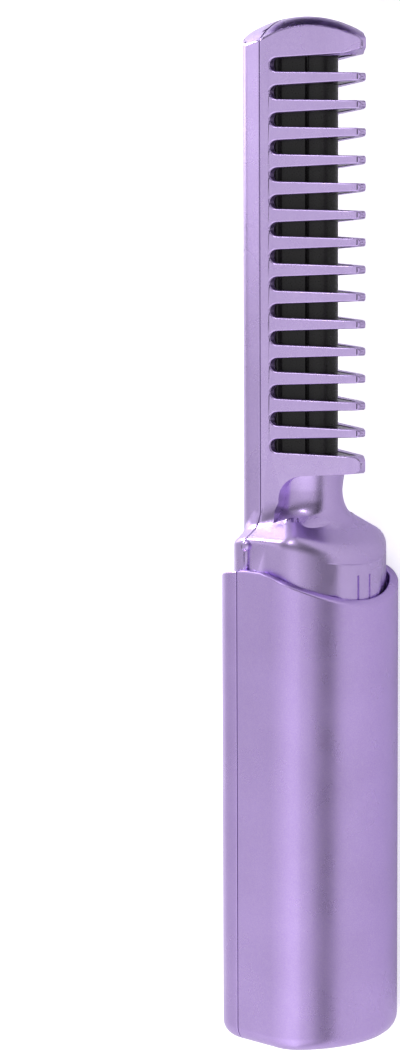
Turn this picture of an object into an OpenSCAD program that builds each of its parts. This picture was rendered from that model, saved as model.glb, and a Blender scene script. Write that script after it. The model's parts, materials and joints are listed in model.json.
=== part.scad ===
// Cordless heated hair comb with a pull-off cap, lying on its flat side.
// It is modelled standing on its foot: x runs from side to side, y points to the
// button side and z runs up to the comb. laid() then lays it along +X.

/* [Body] */
// Distance between the two flat sides
body_d = 36.6; // [34:0.1:42]
// Distance between the crowned front and back
body_w = 35.2; // [33:0.1:40]
// Width of each flat side
side_flat = 10.4; // [8:0.1:14]
// Radius where a flat side turns into the crowned front or back
corner_r = 8.6; // [7:0.1:10]
// Length of the closed product
closed_l = 224; // [222:0.5:240]
// Rounding of the foot and of the closed end of the cap
end_r = 3.2; // [1.5:0.1:4]
// Wall of the handle shells
wall = 2; // [1.6:0.1:2.2]
// Height of the handle rim at the flat sides
rim_z = 102.5; // [101:0.1:103.5]
// How much lower the rim is in the middle of the front
front_dip = 3.3; // [2:0.1:5]
// How much lower the rim is in the middle of the back
back_dip = 7.4; // [5:0.1:8.5]
// Power of the curve that the rim follows
rim_power = 1.75; // [1.5:0.05:2.2]
// Rounding of the rims of the handle and cap
rim_r = 0.4; // [0.2:0.05:0.6]
// Distance of the shells' seam from the middle, towards the button
seam_y = 4.5; // [4:0.1:5]
// Distance from the foot to the frame's origin
origin_z = 40; // [30:1:45]

/* [Cap] */
// Wall of the cap
cap_wall = 1.9; // [1.6:0.1:2]
// Gap between the rims of the closed cap and the handle
rim_gap = 0.3; // [0.2:0.05:0.5]
// Gap between the comb's tip and the mouth of the cap lying in front of it
cap_off_gap = 5; // [2:0.5:20]
// Length of the vent slot in each flat side
slot_l = 84; // [60:0.1:88]
// Width of the vent slots
slot_w = 2.6; // [2:0.1:3.4]
// Height of the lower end of the slots
slot_z = 126; // [122:0.1:130]
// Diameter of the latch holes in the cap
latch_hole_d = 3.2; // [3:0.1:3.6]
// Diameter of the latch nubs on the collar
nub_d = 2.2; // [1.8:0.1:2.4]
// Width of the rib below a nub
nub_rib_w = 1.1; // [0.8:0.1:1.3]
// How far that rib stands out of the collar
nub_rib_out = 0.4; // [0.2:0.05:0.45]
// Distance of the latch nubs and holes from the middle, towards the button
nub_y = 4.1; // [3.7:0.1:4.5]
// Height of the latch nubs and holes
latch_z = 107.4; // [106.5:0.1:108]
// Clearance round a latch nub in the cap
nub_gap = 0.3; // [0.25:0.05:0.4]

/* [Collar and neck] */
// Inset of the collar from the outside of the body
collar_inset = 2.6; // [2.5:0.05:2.9]
// Height of the collar's wall at the flat sides
collar_z = 108; // [107.5:0.1:109]
// How much lower that wall is at the front of the body
collar_front_dip = 2.5; // [1:0.1:3]
// How much lower that wall is at the back of the body
collar_back_dip = 5; // [3:0.1:6]
// Clearance between the cap and the guide pads of the collar
pad_gap = 0.35; // [0.3:0.05:0.5]
// Width of a guide pad
pad_w = 19.2; // [14:0.1:22]
// Width of the rib in the middle of a guide pad
pad_rib_w = 2.8; // [2:0.1:4]
// Width of the grooves beside that rib
pad_groove_w = 0.8; // [0.5:0.1:1.2]
// Rounding of the collar's upper edge at the flat sides and the front
collar_r = 1.6; // [1.2:0.1:2]
// Rounding of that edge at the back
collar_back_r = 4.5; // [2:0.1:5]
// Slope of the shoulder between the collar and the neck, in degrees
shoulder_a = 30; // [20:1:35]
// Wall of the collar
collar_wall = 2; // [1.6:0.1:2.4]
// Height of the skirt's lower end inside the handle
skirt_z = 90.4; // [90:0.1:91]
// Clearance between the skirt and the handle shells
skirt_gap = 0.1; // [0.05:0.05:0.2]
// Height of the neck's waist
neck_z = 118.4; // [116:0.1:119]
// How much the neck widens from its waist to the comb
neck_grow = 1.2; // [0.4:0.1:1.6]
// Radius of the round back of the neck
neck_r = 8.8; // [8.2:0.1:9.2]
// Half the width of that round back
neck_x = 8.9; // [8:0.1:9.2]
// Distance of the neck's middle from the middle of the body
neck_y = 2.5; // [2:0.1:3]
// Radius of the lead passage through the neck
passage_r = 4.2; // [3:0.1:5]

/* [Comb] */
// Number of teeth between the two guards
teeth = 14; // [8:1:14]
// Distance between two teeth
pitch = 5.72; // [5.5:0.01:5.8]
// Height of the uppermost tooth
first_z = 205.7; // [205:0.1:206]
// Height of the comb's tip
comb_top = 219; // [218:0.1:220]
// Half the thickness of the comb at the seam
spine_x = 11; // [10:0.1:11.5]
// Distance from the middle to the comb's front
spine_y = 11.9; // [11.5:0.1:12.4]
// Rounding of the comb's front edges
spine_r = 4.5; // [3:0.1:5]
// Wall of the comb's front cover
cover_wall = 2; // [1.6:0.1:2.4]
// Half the thickness of a tooth where its tip begins
tooth_x = 3; // [2.8:0.1:3.2]
// Distance from the middle to where the tips begin
tooth_y = 12.4; // [12:0.1:12.8]
// Distance from the middle to the tips' ends
tip_y = 15.2; // [15:0.1:15.4]
// Rounding of a tip, seen from above
tip_r = 1.4; // [1.1:0.1:1.6]
// Diameter of the round root of a gap
gap_root_d = 2.9; // [2.6:0.1:3.1]
// Distance of the gaps' roots from the middle, towards the button
gap_root_y = 2.6; // [2:0.1:3]
// Height of a tooth at its tip
tip_h = 1.8; // [1.75:0.05:2.1]
// Radius of the comb's arched top
top_r = 30; // [26:1:36]
// Radius of the crown of that top, from one flat side to the other
top_crown_r = 14; // [12:0.5:20]
// Rounding of the upper guard's tip
guard_r = 1.7; // [1.5:0.1:1.9]
// Rounding of the lower guard's tip
low_guard_r = 1.9; // [1.7:0.1:2]
// Radius of the scoop under the lower guard
scoop_r = 5; // [3.5:0.1:5.5]

/* [Heater] */
// Half the thickness of the heating plate at its root
heater_x = 6.8; // [6:0.1:7]
// Half the thickness of a fin at its end
fin_x = 1.2; // [1:0.1:1.4]
// Distance from the middle to the fins' ends
fin_y = 12.3; // [12:0.1:12.6]
// Distance from the middle to the nose of the web in the gaps
web_y = 6.6; // [6:0.1:7.5]
// Radius of the web's nose
nose_r = 3.9; // [3:0.1:4.2]
// Half the width of the heating plate's flange
flange_x = 8.2; // [7.6:0.1:8.3]
// Thickness of the flange
flange_t = 1.6; // [1.2:0.1:1.7]
// Clearance between the heating plate and its pocket
heater_gap = 0.12; // [0.08:0.02:0.2]
// Width of the ceramic heating strip
strip_w = 11; // [9:0.5:12]
// Thickness of the ceramic heating strip
strip_t = 2.2; // [1.8:0.1:2.4]
// Thickness of the clamp plate
clamp_t = 1; // [0.8:0.1:1.2]
// Width of the clamp plate
clamp_w = 13; // [12:0.5:14]
// Diameter of the heater leads
lead_d = 1.1; // [0.8:0.1:1.1]
// Width of the terminal block that the leads plug into
terminal_w = 8; // [7:0.5:10]
// Height of the terminal block
terminal_h = 3.2; // [2:0.1:4]
// Distance between the two leads
lead_pitch = 4.8; // [3:0.1:6]

/* [Button and lights] */
// Diameter of the power button
button_d = 10.8; // [10:0.1:11.6]
// Gap round the power button
button_gap = 0.5; // [0.4:0.05:0.6]
// Height of the power button
button_z = 60.5; // [56:0.1:63]
// Travel of the power button
button_travel = 0.8; // [0.5:0.1:0.9]
// Diameter of an indicator light
light_d = 2.2; // [1.8:0.1:2.6]
// Height of the uppermost indicator light
light_z = 87.8; // [86:0.1:88]
// Distance between two indicator lights
light_pitch = 6.1; // [5.5:0.05:6.2]
// Number of indicator lights
lights = 3; // [2:1:3]

/* [Electronics] */
// Height of the battery cell's lower end
cell_z = 14.5; // [12:0.1:15]
// Clearance between the battery cell and the rear shell
cell_gap = 0.2; // [0.1:0.05:0.4]
// Distance between the battery cell and the top of its cradle
cell_top_gap = 4.9; // [4:0.1:9]
// Thickness of the cradle between the battery cell and the main board
cradle_t = 1.7; // [1.2:0.1:2.5]
// Depth of the cradle behind the main board
cradle_depth = 4.5; // [3.5:0.1:5]
// Thickness of the main board
board_t = 1.6; // [1:0.1:1.6]
// Width of the main board
board_w = 26; // [24:0.5:27]
// Depth of the main board's face behind the crowned front
board_depth = 8.5; // [8.4:0.1:8.6]
// Height of the main board's lower end
board_z = 3.2; // [3:0.1:4]
// Width of the controller chip
chip_w = 5; // [4:0.5:7]
// Height of the controller chip's lower edge
chip_z = 36; // [28:1:44]
// Diameter of the screws
screw_d = 2; // [1.6:0.1:2]
// Width of the charging socket
socket_w = 8.9; // [8.6:0.1:9.2]
// Height of the charging socket
socket_h = 3.2; // [3:0.1:3.4]
// Length of the charging socket
socket_l = 7.4; // [6.5:0.1:9]

/* [Hidden] */
$fn = 48;
lavender = [0.68, 0.58, 0.82];
lavender_light = [0.74, 0.66, 0.86];
near_black = [0.09, 0.09, 0.1];

// The rounded section of the body: a corner arc and a crown arc in each quarter
half_d = body_d / 2;
half_w = body_w / 2;
half_flat = side_flat / 2;
corner_x = half_d - corner_r;
crown_y = (pow(half_w - corner_r, 2) - pow(corner_x, 2) - pow(half_flat, 2))
    / (2 * (half_w - corner_r - half_flat));
crown_r = half_w - crown_y;
turn_a = atan2(half_flat - crown_y, corner_x);
corner_steps = 8;
crown_steps = 8;
flat_steps = 3;

function arc(c, r, a0, a1, n) =
    [for (k = [0:n]) c + r * [cos(a0 + (a1 - a0) * k / n), sin(a0 + (a1 - a0) * k / n)]];

function quarter(inset) = concat(
    arc([corner_x, half_flat], corner_r - inset, 0, turn_a, corner_steps),
    [for (k = [1:crown_steps]) let (a = turn_a + (90 - turn_a) * k / crown_steps)
        [(crown_r - inset) * cos(a), crown_y + (crown_r - inset) * sin(a)]]);

function section(inset, steps = 1) = let (
        q = quarter(inset),
        n = len(q),
        side = [for (k = [1:1:steps - 1]) [half_d - inset, half_flat * (2 * k / steps - 1)]])
    concat(
        q,
        [for (k = [n - 2:-1:0]) [-q[k][0], q[k][1]]],
        [for (p = side) -p],
        [for (k = [0:n - 1]) -q[k]],
        [for (k = [n - 2:-1:0]) [q[k][0], -q[k][1]]],
        side);

// How far a curved edge has dropped over a point at y
function dip(y, front, back) = (y > 0 ? front : back) * pow(min(1, abs(y) / half_w), rim_power);

// Height of the handle rim and of the collar's wall over a point at y
function rim(y) = rim_z - dip(y, front_dip, back_dip);
function collar_top(y) = collar_z - dip(y, collar_front_dip, collar_back_dip);

// A ring of the section at a fixed height, and rings that follow the rim and the collar's wall
function ring_points(inset) = section(inset, flat_steps);
function flat_ring(inset, z) = [for (p = ring_points(inset)) [p[0], p[1], z]];
function rim_ring(inset, dz) = [for (p = ring_points(inset)) [p[0], p[1], rim(p[1]) + dz]];
function wall_ring(inset, dz) = [for (p = ring_points(inset)) [p[0], p[1], collar_top(p[1]) + dz]];

// Rings of a quarter round that starts at inset r and ends at inset 0
function foot_rings(r, z, up) =
    [for (a = [0:15:90]) flat_ring(r * (1 - sin(a)), z + up * r * (1 - cos(a)))];

// The end of a skin: strips across the ring, from the middle of its front to the middle of its back
function end_strips(n, first, front, back) = [for (k = [0:n / 2 - 1])
    let (
        right = [for (i = [k, k + 1]) first + (front - i + n) % n],
        left = [for (i = [k, k + 1]) first + front + i],
        strip = k == 0 ? [right[0], right[1], left[1]]
            : k == n / 2 - 1 ? [right[0], right[1], left[0]]
            : [right[0], right[1], left[1], left[0]])
    back ? [for (i = [len(strip) - 1:-1:0]) strip[i]] : strip];

module skin(rings) {
    n = len(rings[0]);
    last = len(rings) - 1;
    front = corner_steps + crown_steps;
    sides = [for (k = [0:last - 1], j = [0:n - 1], half = [0, 1])
        let (i = (j + 1) % n)
        half == 0
            ? [k * n + j, (k + 1) * n + j, (k + 1) * n + i]
            : [k * n + j, (k + 1) * n + i, k * n + i]];
    polyhedron(
        points = [for (r = rings) each r],
        faces = concat(end_strips(n, 0, front, true), sides, end_strips(n, last * n, front, false)));
}

// A prism along x from an outline drawn in y and z
module across(width) {
    rotate([90, 0, 90])
        linear_extrude(height = width, center = true)
            children();
}

module laid() {
    translate([-origin_z, 0, half_d])
        rotate([0, 90, 0])
            children();
}

module rear_half() {
    intersection() {
        children();
        translate([-body_d, -body_w, -1])
            cube([2 * body_d, body_w + seam_y, closed_l + 2]);
    }
}

module front_half() {
    intersection() {
        children();
        translate([-body_d, seam_y, -1])
            cube([2 * body_d, body_w, closed_l + 2]);
    }
}

// Handle

board_y = half_w - board_depth;
board_top = skirt_z - 1;
floor_t = wall;
boss_d = 4.6;
boss_x = 10.2;
boss_low_z = 22;
boss_high_z = 73;
button_hole_d = button_d + 2 * button_gap;
socket_y = board_y + socket_h / 2;

module handle_tub() {
    skin(concat(
        foot_rings(end_r, 0, 1),
        [rim_ring(0, -rim_r), rim_ring(rim_r * 0.3, -rim_r * 0.3), rim_ring(rim_r, 0)],
        [rim_ring(wall - rim_r, 0), rim_ring(wall, -rim_r)],
        [flat_ring(wall, floor_t + 1.2), flat_ring(wall + 1.2, floor_t)]));
}

module handle_rear_shell() {
    color(lavender)
        rear_half()
            handle_tub();
}

module boss_places() {
    for (sx = [-1, 1], z = [boss_low_z, boss_high_z])
        translate([sx * boss_x, 0, z])
            children();
}

module handle_front_shell() {
    color(lavender)
        difference() {
            union() {
                front_half()
                    handle_tub();
                boss_places()
                    intersection() {
                        translate([0, half_w, 0])
                            rotate([90, 0, 0])
                                cylinder(d = boss_d, h = half_w - board_y);
                        boss_limit();
                    }
            }
            translate([0, half_w + 1, button_z])
                rotate([90, 0, 0])
                    cylinder(d = button_hole_d, h = 6);
            for (k = [0:lights - 1])
                translate([0, half_w + 1, light_z - k * light_pitch])
                    rotate([90, 0, 0])
                        cylinder(d = light_d + 0.1, h = 6);
            boss_places()
                translate([0, board_y + 4, 0])
                    rotate([90, 0, 0])
                        cylinder(d = screw_d + 0.06, h = 5);
            translate([0, socket_y, -1])
                slot_form(socket_w + 0.3, socket_h + 0.3, 5);
        }
}

// Keeps a boss inside the outside of the shell
module boss_limit() {
    translate([-boss_d, board_y, -boss_d])
        cube([2 * boss_d, half_w - 1.2 - board_y - crown_drop(boss_x + boss_d / 2), 2 * boss_d]);
}

// How far the crowned front has dropped at a distance x from its middle
function crown_drop(x) = crown_r - sqrt(crown_r * crown_r - x * x);

// A bar along z with a long round-ended section
module slot_form(w, h, l) {
    linear_extrude(height = l)
        union() {
            square([w - h, h], center = true);
            for (s = [-1, 1])
                translate([s * (w - h) / 2, 0])
                    circle(d = h);
        }
}

// Head: skirt, collar, neck and comb

last_z = first_z - pitch * (teeth - 1);
gap_out = (pitch - tip_h) / 2;
guard_y = -(tip_y - guard_r);
arch_y = 2;
arch_z = comb_top - top_r;
guard_z = arch_z + sqrt(pow(top_r - guard_r, 2) - pow(guard_y - arch_y, 2));
guard_a = atan2(guard_z - arch_z, guard_y - arch_y);
top_gap_z = first_z + pitch / 2;
low_gap_z = last_z - pitch / 2;
low_guard_z = low_gap_z - gap_out - low_guard_r;
scoop_z = low_guard_z - low_guard_r - 0.6;
neck_back_y = 0.8;
comb_foot_z = collar_z + 1.4;
scoop_y = neck_back_y - scoop_r;
top_front_r = 5;
pad_inset = cap_wall + pad_gap;

// Side outline of the comb, drawn in y and z, before the gaps are cut
module comb_outline() {
    polygon(concat(
        [[spine_y, comb_foot_z]],
        arc([spine_y - top_front_r, comb_top - top_front_r], top_front_r, 0, 90, 8),
        arc([arch_y, arch_z], top_r, 90, guard_a, 12),
        arc([guard_y, guard_z], guard_r, guard_a, 270, 8),
        [[-tooth_y, top_gap_z + gap_out], [-tooth_y, top_gap_z], [-tip_y, top_gap_z]],
        [[-tip_y, low_gap_z], [-tooth_y, low_gap_z], [-tooth_y, low_gap_z - gap_out]],
        arc([-tip_y + low_guard_r, low_guard_z], low_guard_r, 90, 270, 10),
        arc([scoop_y, scoop_z - scoop_r], scoop_r, 90, 0, 8),
        [[neck_back_y, comb_foot_z]]));
}

// The upper wall of a gap from its mouth inwards, round the tip of a tooth if there is one
function gap_wall(tip) = concat(
    tip ? concat([[-tip_y - 2, pitch / 2]],
            arc([-tip_y + tip_h / 2, pitch / 2], tip_h / 2, 180, 270, 5))
        : [[-tip_y - 2, gap_out]],
    [[-tooth_y, gap_out]]);

// One gap between two teeth, drawn in y and z round its own middle
module gap_outline(tip_above, tip_below) {
    root_r = gap_root_d / 2;
    below = gap_wall(tip_below);
    polygon(concat(
        gap_wall(tip_above),
        arc([gap_root_y - root_r, 0], root_r, 90, -90, 12),
        [for (k = [len(below) - 1:-1:0]) [below[k][0], -below[k][1]]]));
}

module comb_side() {
    difference() {
        comb_outline();
        for (k = [0:teeth])
            translate([0, top_gap_z - k * pitch])
                gap_outline(k > 0, k < teeth);
    }
}

// A wheel with a crowned rim, as wide as the comb, and all the space below its axle
module crowned_top() {
    wheel_x = spine_x + 0.5;
    translate([0, arch_y, arch_z])
        rotate([0, 90, 0])
            rotate_extrude()
                intersection() {
                    union() {
                        translate([top_r - top_crown_r, 0])
                            circle(r = top_crown_r);
                        translate([0, -wheel_x])
                            square([top_r - top_crown_r, 2 * wheel_x]);
                    }
                    translate([0, -wheel_x])
                        square([top_r + 1, 2 * wheel_x]);
                }
    translate([-wheel_x, -body_w, 0])
        cube([2 * wheel_x, 2 * body_w, arch_z]);
}

// The comb seen from above, drawn in x and y
module comb_plan() {
    polygon(concat(
        arc([spine_x - spine_r, spine_y - spine_r], spine_r, 0, 90, 10),
        arc([-spine_x + spine_r, spine_y - spine_r], spine_r, 90, 180, 10),
        [[-spine_x, seam_y], [-tooth_x, -tooth_y]],
        arc([0, -tip_y + tip_r], tip_r, 200, 340, 8),
        [[tooth_x, -tooth_y], [spine_x, seam_y]]));
}

// Half the comb's thickness at y, between the teeth's tips and the seam
function taper(y) = tooth_x + (spine_x - tooth_x) * (y + tooth_y) / (seam_y + tooth_y);

// Point of the neck's outline in the direction a: round at the back, and just inside the comb in front
function neck_point(a, grow) = let (
        inside = 0.1,
        reach = sin(a) > 0
            ? 1 / pow(pow(abs(cos(a)) / (spine_x - inside), 4)
                + pow(sin(a) / (spine_y - neck_y - inside), 4), 0.25)
            : neck_r + grow,
        y = neck_y + reach * sin(a),
        x = y > neck_back_y ? (sin(a) > 0 ? reach * abs(cos(a)) : spine_x) : (neck_x + grow) * abs(cos(a)))
    [sign(cos(a)) * min(x, taper(y) - inside), y];

function neck_ring(z, grow) = [for (p = ring_points(collar_inset))
    let (q = neck_point(atan2(p[1], p[0]), grow))
    [q[0], q[1], z]];

// Rounding of the collar's upper edge over a point at y
function edge_r(y) = let (t = min(1, max(0, (-y - side_flat / 4) / (side_flat * 0.75))))
    collar_r + (collar_back_r - collar_r) * t * t * (3 - 2 * t);

// A ring on that rounding, where its surface has turned by the angle a
function edge_ring(a) = let (outer = ring_points(collar_inset), inner = ring_points(collar_inset + 1))
    [for (k = [0:len(outer) - 1])
        let (r = edge_r(outer[k][1]), q = outer[k] + (inner[k] - outer[k]) * r * (1 - cos(a)))
        [q[0], q[1], collar_top(outer[k][1]) + r * sin(a)]];

// The shoulder starts as a slope from that rounding and turns up into the neck
slope_part = 0.55;

function shoulder_point(low, high, t) = let (
        run = norm([high[0] - low[0], high[1] - low[1]]),
        rise = tan(shoulder_a) * run,
        start = [for (k = [0, 1]) low[k] + (high[k] - low[k]) * slope_part],
        bend = [high[0], high[1], low[2] + rise])
    pow(1 - t, 2) * [start[0], start[1], low[2] + slope_part * rise]
        + 2 * t * (1 - t) * bend
        + t * t * high;

function shoulder_ring(t) = let (low = edge_ring(90 - shoulder_a), high = neck_ring(neck_z, 0))
    [for (k = [0:len(low) - 1]) shoulder_point(low[k], high[k], t)];

// Rings of the neck from its waist up into the comb
neck_h = low_guard_z - low_guard_r - neck_z;

function neck_flare(a) = neck_ring(neck_z + neck_h * sin(a), neck_grow * (1 - cos(a)));

// A ring of the collar with the guide pads raised on its crowned front and back
pad_fade = 3;

function pad_share(x) = let (t = min(1, max(0, (pad_w / 2 - abs(x)) / pad_fade))) t * t * (3 - 2 * t);

function pad_ring(ring) = [for (p = ring)
    p + [0, sign(p[1]) * (collar_inset - pad_inset) * pad_share(p[0]), 0]];

module head_form() {
    skin(concat(
        [flat_ring(wall + skirt_gap, skirt_z)],
        [rim_ring(wall + skirt_gap, -2.4), rim_ring(collar_inset, -1.8)],
        [pad_ring(rim_ring(collar_inset, -1.4)), pad_ring(wall_ring(collar_inset, -0.8))],
        [wall_ring(collar_inset, -0.5)],
        [for (k = [0:4]) edge_ring(k * (90 - shoulder_a) / 4)],
        [for (t = [0:0.2:1]) shoulder_ring(t)],
        [for (a = [30:30:90]) neck_flare(a)],
        [neck_ring(low_guard_z - 0.4, neck_grow)]));
    intersection() {
        translate([0, 0, comb_foot_z - 1])
            linear_extrude(height = comb_top - comb_foot_z + 2)
                comb_plan();
        across(body_d)
            comb_side();
        crowned_top();
    }
}

// The grooves beside the rib of each guide pad
module pad_grooves() {
    for (sx = [-1, 1], sy = [-1, 1])
        translate([sx * (pad_rib_w + pad_groove_w) / 2, sy * (half_w - pad_inset), rim_z - body_w / 2])
            linear_extrude(height = body_w / 2 + collar_top(sy * half_w) - rim_z - 1.6)
                square([pad_groove_w, 2 * (collar_inset - pad_inset)], center = true);
}

nub_out = 0.9;
nub_slope = 0.4;

// Rib below each nub, along the seam of the collar
module nub_ribs() {
    rib_low = rim(seam_y) - 0.6;
    rib_t = 1 + nub_rib_out;
    rib_x = half_d - collar_inset - 1 + rib_t / 2;
    for (sx = [-1, 1])
        translate([sx * rib_x, seam_y - nub_rib_w / 2, (rib_low + latch_z) / 2])
            cube([rib_t, nub_rib_w, latch_z - rib_low], center = true);
}

module nubs() {
    for (sx = [-1, 1])
        translate([sx * (half_d - collar_inset - 1), nub_y, latch_z])
            rotate([0, sx * 90, 0]) {
                cylinder(d = nub_d, h = 1 + nub_out - nub_slope);
                translate([0, 0, 1 + nub_out - nub_slope])
                    cylinder(d1 = nub_d, d2 = nub_d - 2 * nub_slope, h = nub_slope);
            }
}

// Hollow inside the skirt, collar and flare, and the lead passage up to the comb
module collar_hollow() {
    funnel_z = collar_z + 3.5;
    skin([
        flat_ring(wall + skirt_gap + collar_wall, skirt_z - 1),
        rim_ring(wall + skirt_gap + collar_wall, 0),
        wall_ring(collar_inset + collar_wall + 0.6, -1.2),
        [for (p = ring_points(0)) let (a = atan2(p[1], p[0]))
            [(passage_r + 0.4) * cos(a), seam_y + (passage_r + 0.4) * sin(a), funnel_z]]]);
    translate([0, seam_y, funnel_z - 1])
        cylinder(r = passage_r, h = chamber_z + 2 - funnel_z);
}

plate_z = low_guard_z + low_guard_r - 0.2;
plate_top = top_gap_z + gap_out - 0.1;
chamber_z = plate_z - 8;
chamber_top = plate_top + 4.3;
chamber_x = clamp_w / 2 + 0.7;
flange_y = 2;

module heater_pocket() {
    translate([0, 0, plate_z - heater_gap])
        linear_extrude(height = plate_top - plate_z + 2 * heater_gap)
            plate_plan(heater_gap);
    translate([-flange_x - heater_gap, flange_y - heater_gap, plate_z - heater_gap])
        cube([2 * (flange_x + heater_gap), seam_y - flange_y + 1, plate_top - plate_z + 2 * heater_gap]);
}

module comb_rear_shell() {
    color(lavender_light)
        difference() {
            union() {
                rear_half()
                    difference() {
                        head_form();
                        collar_hollow();
                        pad_grooves();
                        heater_pocket();
                    }
                nubs();
                nub_ribs();
            }
            clamp_screw_places()
                cylinder(d = screw_d + 0.06, h = clamp_y + clamp_t - seam_y + clamp_thread_l + 0.5);
        }
}

module comb_front_cover() {
    color(lavender_light)
        difference() {
            front_half()
                head_form();
            collar_hollow();
            pad_grooves();
            translate([-chamber_x, seam_y - 1, chamber_z])
                cube([2 * chamber_x, spine_y - cover_wall - seam_y + 1, chamber_top - chamber_z]);
            for (sx = [-1, 1])
                translate([sx * (half_d - collar_inset), nub_y, latch_z])
                    rotate([0, 90, 0])
                        cylinder(d = nub_d + 0.1, h = 8, center = true);
        }
}

// Cap

mouth_low = rim(-half_w) + rim_gap;
cap_shift = comb_top + cap_off_gap - mouth_low;

// The cap where it sits when it is closed, from its closed end inwards to its mouth and out again
module cap_tub() {
    skin(concat(
        [flat_ring(cap_wall + 1.5, closed_l - cap_wall), flat_ring(cap_wall, closed_l - cap_wall - 1.5)],
        [rim_ring(cap_wall, rim_gap + rim_r), rim_ring(cap_wall - rim_r, rim_gap)],
        [rim_ring(rim_r, rim_gap), rim_ring(rim_r * 0.3, rim_gap + rim_r * 0.3)],
        [rim_ring(0, rim_gap + rim_r)],
        [for (a = [90:-15:0])
            flat_ring(end_r * (1 - sin(a)), closed_l - end_r * (1 - cos(a)))]));
}

module cap() {
    color(lavender)
        translate([0, 0, cap_shift])
            difference() {
                cap_tub();
                for (sx = [-1, 1]) {
                    translate([sx * half_d, 0, slot_z + slot_l / 2])
                        rotate([90, 90, 90])
                            translate([0, 0, -2 * cap_wall])
                                slot_form(slot_l, slot_w, 4 * cap_wall);
                    translate([sx * half_d, nub_y, latch_z])
                        rotate([0, 90, 0])
                            cylinder(d = latch_hole_d, h = 4 * cap_wall, center = true);
                    latch_groove(sx);
                }
            }
}

// Groove in the cap's wall that lets a nub in from the mouth to its hole
module latch_groove(sx) {
    depth = half_d - collar_inset + nub_out + nub_gap;
    low_z = mouth_low - 2;
    translate([sx * depth / 2, nub_y, (latch_z + low_z) / 2])
        cube([depth, nub_d + 2 * nub_gap, latch_z - low_z], center = true);
}

// Button, switch and lights

flange_gap = 0.3;
button_stem_y = half_w - wall - crown_drop(button_hole_d / 2 + 0.6) - flange_gap;
switch_top = board_y + 3.3;
plunger_d = 3;

module power_button() {
    color(lavender) {
        intersection() {
            translate([0, half_w + 1, button_z])
                rotate([90, 0, 0])
                    cylinder(d = button_d, h = half_w + 1 - button_stem_y + 0.5);
            translate([0, 0, button_z - button_d])
                linear_extrude(height = 2 * button_d)
                    polygon(section(0.05));
        }
        translate([0, button_stem_y, button_z])
            rotate([90, 0, 0])
                cylinder(d = button_hole_d + 1.2, h = 0.9);
    }
}

module switch_plunger() {
    color(near_black)
        translate([0, button_stem_y - 0.9, button_z])
            rotate([90, 0, 0])
                cylinder(d = plunger_d, h = button_stem_y - 0.9 - board_y - 1 - button_travel);
}

module power_switch() {
    color([0.25, 0.25, 0.27])
        difference() {
            translate([-3, board_y, button_z - 3])
                cube([6, switch_top - board_y, 6]);
            translate([0, switch_top + 1, button_z])
                rotate([90, 0, 0])
                    cylinder(d = plunger_d + 0.1, h = switch_top + 1 - board_y - 0.6);
        }
}

module indicator_lenses() {
    lens_foot = board_y + 1.2;
    color(near_black) {
        for (k = [0:lights - 1])
            translate([0, half_w - 0.1, light_z - k * light_pitch])
                rotate([90, 0, 0])
                    cylinder(d = light_d, h = half_w - 0.1 - lens_foot);
        translate([-1.6, half_w - wall - 2, light_z - (lights - 1) * light_pitch - 1.4])
            cube([3.2, 1.6, (lights - 1) * light_pitch + 2.8]);
    }
}

module indicator_leds() {
    color([0.95, 0.95, 0.85])
        for (k = [0:lights - 1])
            translate([-0.8, board_y, light_z - k * light_pitch - 0.4])
                cube([1.6, 0.9, 0.8]);
}

// Electronics and battery

board_back = board_y - board_t;
cradle_back = board_back - cradle_depth;
cell_d = board_back - cradle_t + half_w - wall - cell_gap;
cell_l = board_top - cell_top_gap - cell_z;
cell_y = board_back - cradle_t - cell_d / 2;

module main_board() {
    color([0.08, 0.35, 0.2])
        difference() {
            translate([-board_w / 2, board_back, board_z])
                cube([board_w, board_t, board_top - board_z]);
            boss_places()
                translate([0, board_y + 1, 0])
                    rotate([90, 0, 0])
                        cylinder(d = screw_d + 0.4, h = board_t + 2);
        }
}

module controller_chip() {
    color([0.12, 0.12, 0.12])
        translate([-chip_w / 2, board_y, chip_z])
            cube([chip_w, 1, chip_w]);
}

module board_screws() {
    head_h = 1.2;
    thread_l = 3.6;
    color([0.75, 0.75, 0.78])
        boss_places()
            translate([0, board_y + thread_l, 0])
                rotate([90, 0, 0]) {
                    cylinder(d = screw_d, h = thread_l + board_t + cradle_ear_t);
                    translate([0, 0, thread_l + board_t + cradle_ear_t])
                        cylinder(d = 1.8 * screw_d, h = head_h);
                }
}

module charging_socket() {
    color([0.78, 0.78, 0.8])
        translate([0, socket_y, 0.6])
            difference() {
                slot_form(socket_w, socket_h, socket_l);
                translate([0, 0, -1])
                    slot_form(socket_w - 0.6, socket_h - 0.6, socket_l - 0.4);
            }
    color(near_black)
        translate([-3.3, socket_y - 0.35, 1.8])
            cube([6.6, 0.7, socket_l - 1.8]);
}

module battery_cell() {
    color([0.2, 0.45, 0.6])
        translate([0, cell_y, cell_z])
            cylinder(d = cell_d, h = cell_l);
    color([0.8, 0.8, 0.8])
        translate([0, cell_y, cell_z + cell_l])
            cylinder(d = cell_d * 0.4, h = 0.6);
}

cradle_ear_t = 1.4;

module battery_cradle() {
    color([0.85, 0.85, 0.83])
        difference() {
            translate([-board_w / 2, cradle_back, cell_z - 3])
                cube([board_w, board_back - cradle_back, board_top - cell_z + 3]);
            translate([0, cell_y, cell_z - 1.2])
                cylinder(d = cell_d + 0.4, h = cell_l + 2.6);
            boss_places()
                translate([0, board_back + 1, 0])
                    rotate([90, 0, 0])
                        cylinder(d = screw_d + 0.4, h = 12);
            boss_places()
                translate([0, board_back - cradle_ear_t, 0])
                    rotate([90, 0, 0])
                        cylinder(d = 2 * screw_d, h = 12);
        }
}

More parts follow.
